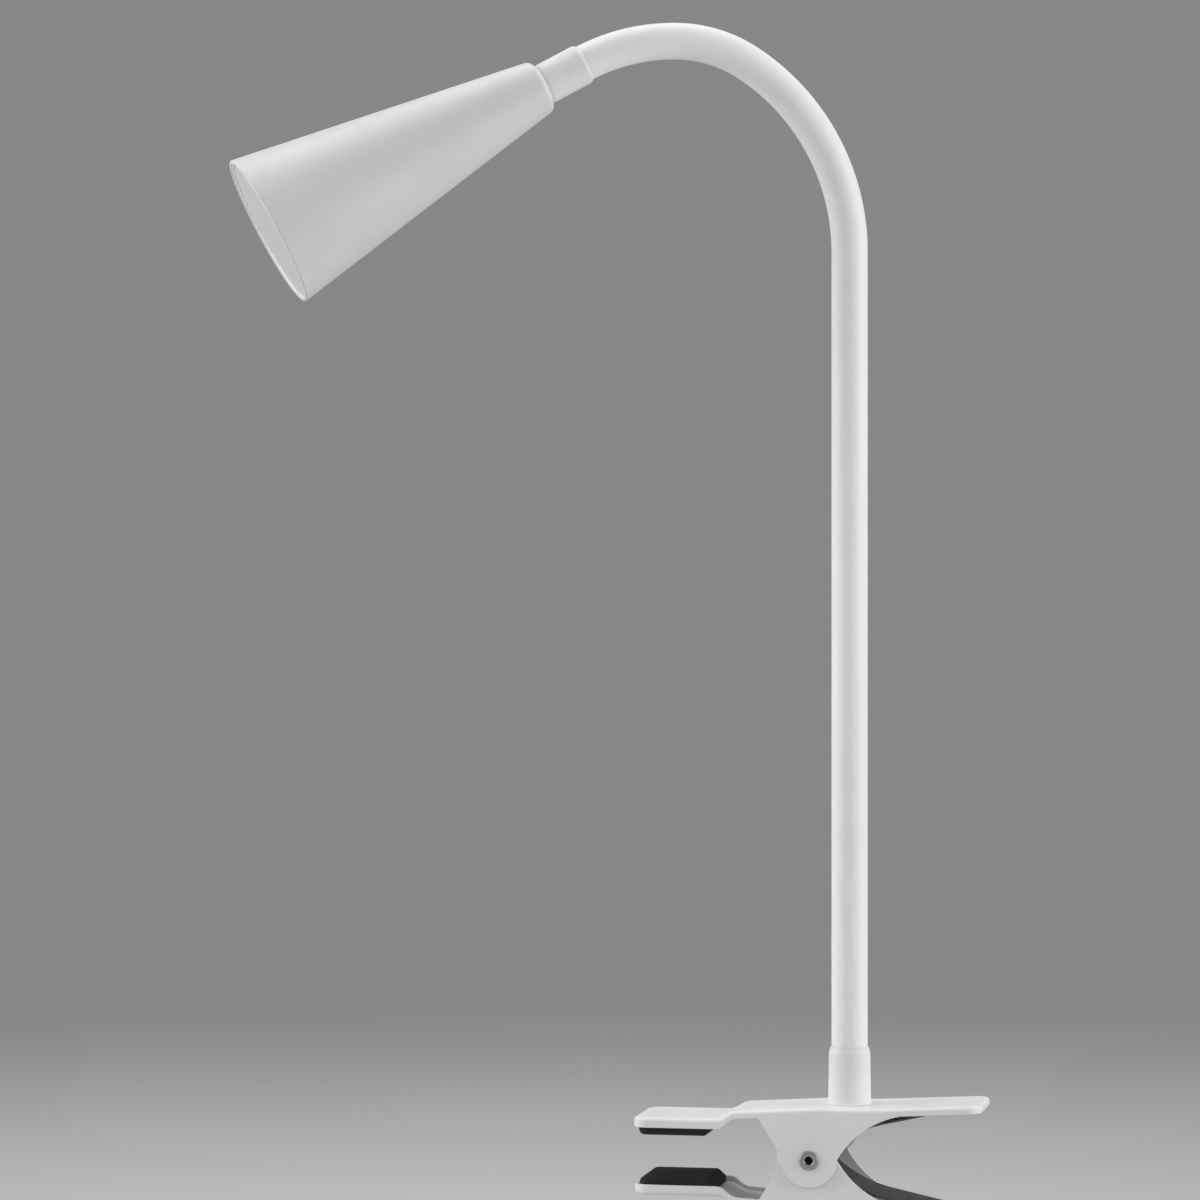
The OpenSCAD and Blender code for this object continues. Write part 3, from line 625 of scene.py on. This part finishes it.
def dress(piece, slot):
    """Gives a piece its finish."""
    piece.data.materials.clear()
    piece.data.materials.append(FINISHES[slot])


def fit(piece, body, slot, stands_for):
    """Sets a finished piece on its body, in place of a CAD node."""
    dress(piece, slot)
    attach(piece, body)
    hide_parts(stands_for)


# Shade and lens
def shade_out(h):
    """The shade's outer radius at the distance h from the sleeve's end of the head collar."""
    return SHADE_BACK_R + (h - SHADE_BACK) * SHADE_SLOPE


def shade_in(h):
    """The shade's inner radius there, one wall in from the outer one."""
    return shade_out(h) - SHADE_WALL / math.cos(math.atan(SHADE_SLOPE))


def make_shade():
    """The shade's shell: a cone with a rounded back and a thicker lip at its mouth."""
    lip = SHADE_MOUTH - SHADE_LIP_H
    lip_r = SHADE_MOUTH_R - SHADE_LIP_W
    inner = SHADE_BACK + SHADE_BACK_WALL
    outline = [
        (SHADE_HOLE_R, SHADE_BACK, SHADE_HOLE_ROUND),
        (shade_out(SHADE_BACK), SHADE_BACK, SHADE_BACK_ROUND),
        (SHADE_MOUTH_R, SHADE_MOUTH, SHADE_LIP_ROUND),
        (lip_r, SHADE_MOUTH, SHADE_LIP_INNER_ROUND),
        (lip_r, lip, SHADE_LIP_BACK_ROUND),
        (shade_in(lip), lip, SHADE_LIP_FOOT_ROUND),
        (shade_in(inner), inner, SHADE_INNER_ROUND),
        (SHADE_HOLE_R, inner, SHADE_HOLE_ROUND),
    ]
    shell = turned("shade_shell", outline, AT_HEAD, sides=SHADE_SIDES, steps=SHADE_ARC_STEPS)
    fit(shell, "head", "shade_paint", "shade")


def make_lens():
    """The opal lens with its domed face, and the ring that holds it behind the lip."""
    front = SHADE_MOUTH - LENS_RECESS
    back = front - LENS_T
    edge_r = shade_in(back) - LENS_GAP
    lens = [(0, back, 0), (edge_r, back, LENS_ROUND), (edge_r, front, LENS_ROUND)]
    for i in range(1, LENS_DOME_STEPS + 1):
        out = 1 - i / LENS_DOME_STEPS
        lens.append((edge_r * out, front + LENS_DOME * (1 - out ** 2), 0))
    fit(turned("opal_lens", lens, AT_HEAD), "head", "diffuser_acrylic", "diffuser")
    outer = SHADE_MOUTH_R - SHADE_LIP_W + RING_TUCK
    inner = shade_in(front) - LENS_GAP - RING_W
    top = SHADE_MOUTH - SHADE_LIP_H + RING_TUCK
    ring = [
        (inner, front, 0),
        (outer, front, 0),
        (outer, top, 0),
        (outer - 2 * RING_TUCK, top, RING_ROUND),
        (inner, front + RING_EDGE_H, RING_ROUND),
    ]
    fit(turned("lens_snap_ring", ring, AT_HEAD), "head", "ring_white", "lens_ring")


# Collars
def make_collars():
    """The base collar with its flared foot, and the head collar, chamfered at both ends."""
    base = [
        (COLLAR_BORE_R, 0, 0),
        (BASE_COLLAR_FOOT_R + BASE_COLLAR_FLARE, 0, BASE_COLLAR_EDGE_ROUND),
        (BASE_COLLAR_FOOT_R, BASE_COLLAR_FLARE, BASE_COLLAR_ROUND),
        (BASE_COLLAR_TOP_R, BASE_COLLAR_H - BASE_COLLAR_CHAMFER, BASE_COLLAR_ROUND),
        (COLLAR_BORE_R + COLLAR_RIM, BASE_COLLAR_H, BASE_COLLAR_EDGE_ROUND),
        (COLLAR_BORE_R, BASE_COLLAR_H, 0),
    ]
    fit(turned("base_collar_turned", base, AT_BASE), "clamp_upper", "white_paint", "base_collar")
    head = [
        (COLLAR_BORE_R, 0, 0),
        (HEAD_COLLAR_END_R, 0, HEAD_COLLAR_EDGE_ROUND),
        (HEAD_COLLAR_R, HEAD_COLLAR_CHAMFER, HEAD_COLLAR_ROUND),
        (HEAD_COLLAR_R, HEAD_COLLAR_L - HEAD_COLLAR_CHAMFER, HEAD_COLLAR_ROUND),
        (HEAD_COLLAR_END_R, HEAD_COLLAR_L, HEAD_COLLAR_EDGE_ROUND),
        (COLLAR_BORE_R, HEAD_COLLAR_L, 0),
    ]
    fit(turned("head_collar_turned", head, AT_HEAD), "head", "white_paint", "head_collar")


# Gooseneck sleeve
def make_sleeve():
    """The sleeve, in one length over each neck joint, from the middle of one link to the next."""
    along = [length_at(joint) for joint in NECK_JOINTS]
    middles = [(a + b) / 2 for a, b in zip(along, along[1:])]
    starts = [FLANGE_H - BASE_COLLAR_H, *middles]
    ends = [*middles, NECK_L + HEAD_COLLAR_L - FLANGE_H]
    for i, joint in enumerate(NECK_JOINTS):
        piece = sleeve_length("sleeve_over_" + joint["name"], starts[i], ends[i])
        dress(piece, "white_sleeve")
        direction = neck_line(along[i])[1]
        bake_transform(piece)
        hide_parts("sleeve_" + ("base" if i == 0 else str(i)))
    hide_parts("sleeve_head")


# Clamp
def lever_round(up):
    """The radius of each edge of a lever whose plate faces up (+1) or down (-1)."""
    def radius(edge):
        lower, upper = sorted(face.normal.z * up for face in edge.link_faces)
        middle = (edge.verts[0].co + edge.verts[1].co) / 2
        by_stud = (middle - NECK_FOOT).xy.length < BASE_COLLAR_FOOT_R
        if by_stud:
            return LEVER_EDGE_R
        on_step = lower > SLOPED_OVER or upper < -SLOPED_OVER
        if on_step:
            return LEVER_STEP_R
        on_plate = (middle.z - PIVOT.z) * up > LEVER_LOBE_R
        turns_down = edge.is_convex and upper > LEVEL_OVER and abs(lower) < UPRIGHT_UNDER
        if on_plate and turns_down:
            return LEVER_BEND_R
        return LEVER_EDGE_R if edge.is_convex else LEVER_INNER_R

    return radius


def even_round(radius):
    """The same radius for every edge."""
    return lambda edge: radius


def make_clamp():
    """The two levers with their pads, the rolled rivet, and the spring between the levers."""
    for name, body, up in (("upper", "clamp_upper", 1), ("lower", "clamp_lower", -1)):
        lever = eased_copy(name + "_lever", name + "_lever_pressing", lever_round(up), LEVER_ARC_STEPS)
        fit(lever, body, "white_paint", name + "_lever")
        pad = eased_copy(name + "_pad", name + "_pad_moulding", even_round(PAD_EDGE_R))
        fit(pad, body, "pad_rubber", name + "_pad")
    end = LEVER_HALF_W + RIVET_HEAD_T
    half = [
        (RIVET_R, LEVER_HALF_W, 0),
        (RIVET_HEAD_R, LEVER_HALF_W, RIVET_UNDER_ROUND),
        (RIVET_HEAD_R, end, RIVET_RIM_ROUND),
        (RIVET_BORE_R, end, RIVET_BORE_ROUND),
    ]
    outline = half + [(radius, -height, corner) for radius, height, corner in half[::-1]]
    rivet = turned("rolled_rivet", outline, AT_RIVET, sides=RIVET_SIDES)
    fit(rivet, "clamp_upper", "rivet_steel", "pivot_rivet")
    spring = eased_copy("clamp_spring", "flat_spring", even_round(SPRING_EDGE_R))
    dress(spring, "spring_steel")
    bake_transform(spring)
    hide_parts("clamp_spring")


# Fixings by body and slot, which are CAD shapes with eased edges
FIXINGS = {
    "clamp_upper": {
        "zinc_steel": ("base_stud", "base_washer", "base_nut"),
        "black_nylon": ("inlet_bush",),
        "nylon": ("pivot_barrel",),
    },
    "head": {
        "zinc_steel": ("head_nipple", "head_washer", "head_nut", "board_screws"),
    },
}

# Slots of the inner pieces, which keep their CAD shape
INNER = {
    "heat_sink": "sink_aluminium",
    "led_board": "board_white",
    "leds": "phosphor",
    "reflector": "reflector_white",
    "driver_board": "board_green",
    "driver_parts": "driver_black",
    "inner_wires": "wire_red",
}


def make_fixings():
    """The threaded and moulded fixings, each with its edges eased."""
    for body, slots in FIXINGS.items():
        for slot, names in slots.items():
            for name in names:
                eased = eased_copy(name, name + "_eased", even_round(FIXING_EDGE_R), FIXING_ARC_STEPS)
                fit(eased, body, slot, name)


def dress_inner():
    """Finishes for the CAD nodes inside the head and the gooseneck."""
    for name, slot in INNER.items():
        dress(frame["nodes"][name], slot)
    for name, piece in frame["nodes"].items():
        if name.startswith("core_"):
            dress(piece, "core_steel")
        if name.startswith("lead_"):
            dress(piece, "lead_pvc")


# Stage
def make_floor():
    """A pale round floor that fades into the backdrop and is clear from below."""
    bpy.ops.mesh.primitive_circle_add(
        vertices=FLOOR_SIDES,
        radius=FLOOR_R,
        fill_type="NGON",
        location=(0, 0, cad_box[0].z - FLOOR_DROP),
    )
    floor = bpy.context.object
    floor.name = "floor"
    finish, tree, sockets = new_finish("floor_paper", {"Roughness": 0.9, "Specular IOR Level": 0.1})
    drifting = {"Color": (*PAPER, 1), "Amount": PAPER_DRIFT, "Size": PAPER_DRIFT_SIZE}
    plug(tree, placed(tree, TONE_DRIFT, **drifting)["Color"], sockets["Base Color"])
    place = node(tree, "TexCoord").outputs["Object"]
    out_by = node(tree, "VectorMath", {0: place}, operation="LENGTH").outputs["Value"]
    near = spread(tree, out_by, *FLOOR_FADE, 1.0, 0.0)
    from_above = reckon(tree, "SUBTRACT", 1.0, node(tree, "NewGeometry").outputs["Backfacing"])
    plug(tree, reckon(tree, "MULTIPLY", near, from_above), sockets["Alpha"])
    floor.data.materials.append(finish)


def make_world():
    """A grey backdrop that is seen and mirrored, and an even white light that is not."""
    world = bpy.data.worlds.new("studio")
    bpy.context.scene.world = world
    world.use_nodes = True
    tree = world.node_tree
    tree.nodes.clear()
    seen = node(tree, "Background", {"Color": (*BACKDROP, 1), "Strength": 1.0})
    soft = node(tree, "Background", {"Color": (1, 1, 1, 1), "Strength": ROOM_LIGHT})
    path = node(tree, "LightPath").outputs
    camera_or_gloss = reckon(tree, "MAXIMUM", path["Is Camera Ray"], path["Is Glossy Ray"])
    shows = reckon(tree, "MAXIMUM", camera_or_gloss, path["Is Transmission Ray"])
    mix = node(tree, "MixShader", {0: shows, 1: soft.outputs[0], 2: seen.outputs[0]})
    out = tree.nodes.new("ShaderNodeOutputWorld")
    tree.links.new(mix.outputs[0], out.inputs["Surface"])


def make_soft_box(name, place, side, watts):
    """A square soft box that faces the point at which the camera aims."""
    lamp = bpy.data.lights.new(name, "AREA")
    lamp.shape = "SQUARE"
    lamp.size = side
    lamp.energy = watts
    holder = bpy.data.objects.new(name, lamp)
    bpy.context.scene.collection.objects.link(holder)
    holder.location = place
    holder.visible_camera = False
    towards = VIEW_AIM - Vector(place)
    holder.rotation_mode = "QUATERNION"
    holder.rotation_quaternion = towards.to_track_quat("-Z", "Y")


def make_camera():
    """The camera of the photograph's view."""
    lens = bpy.data.cameras.new("camera")
    lens.lens = VIEW_LENS
    lens.sensor_width = VIEW_SENSOR_W
    lens.clip_start = VIEW_NEAR
    lens.clip_end = VIEW_FAR
    camera = bpy.data.objects.new("camera", lens)
    bpy.context.scene.collection.objects.link(camera)
    back = Vector((math.sin(VIEW_AZIMUTH), -math.cos(VIEW_AZIMUTH), 0))
    camera.location = VIEW_AIM + back * VIEW_DISTANCE
    camera.rotation_euler = (math.radians(90), 0, VIEW_AZIMUTH)
    bpy.context.scene.camera = camera


def make_studio():
    """Floor, backdrop, soft boxes and camera."""
    bpy.context.scene.view_settings.view_transform = "Standard"
    make_floor()
    make_world()
    for soft_box in SOFT_BOXES:
        make_soft_box(*soft_box)
    make_camera()


make_shade()
make_lens()
make_collars()
make_sleeve()
make_clamp()
make_fixings()
dress_inner()
make_studio()
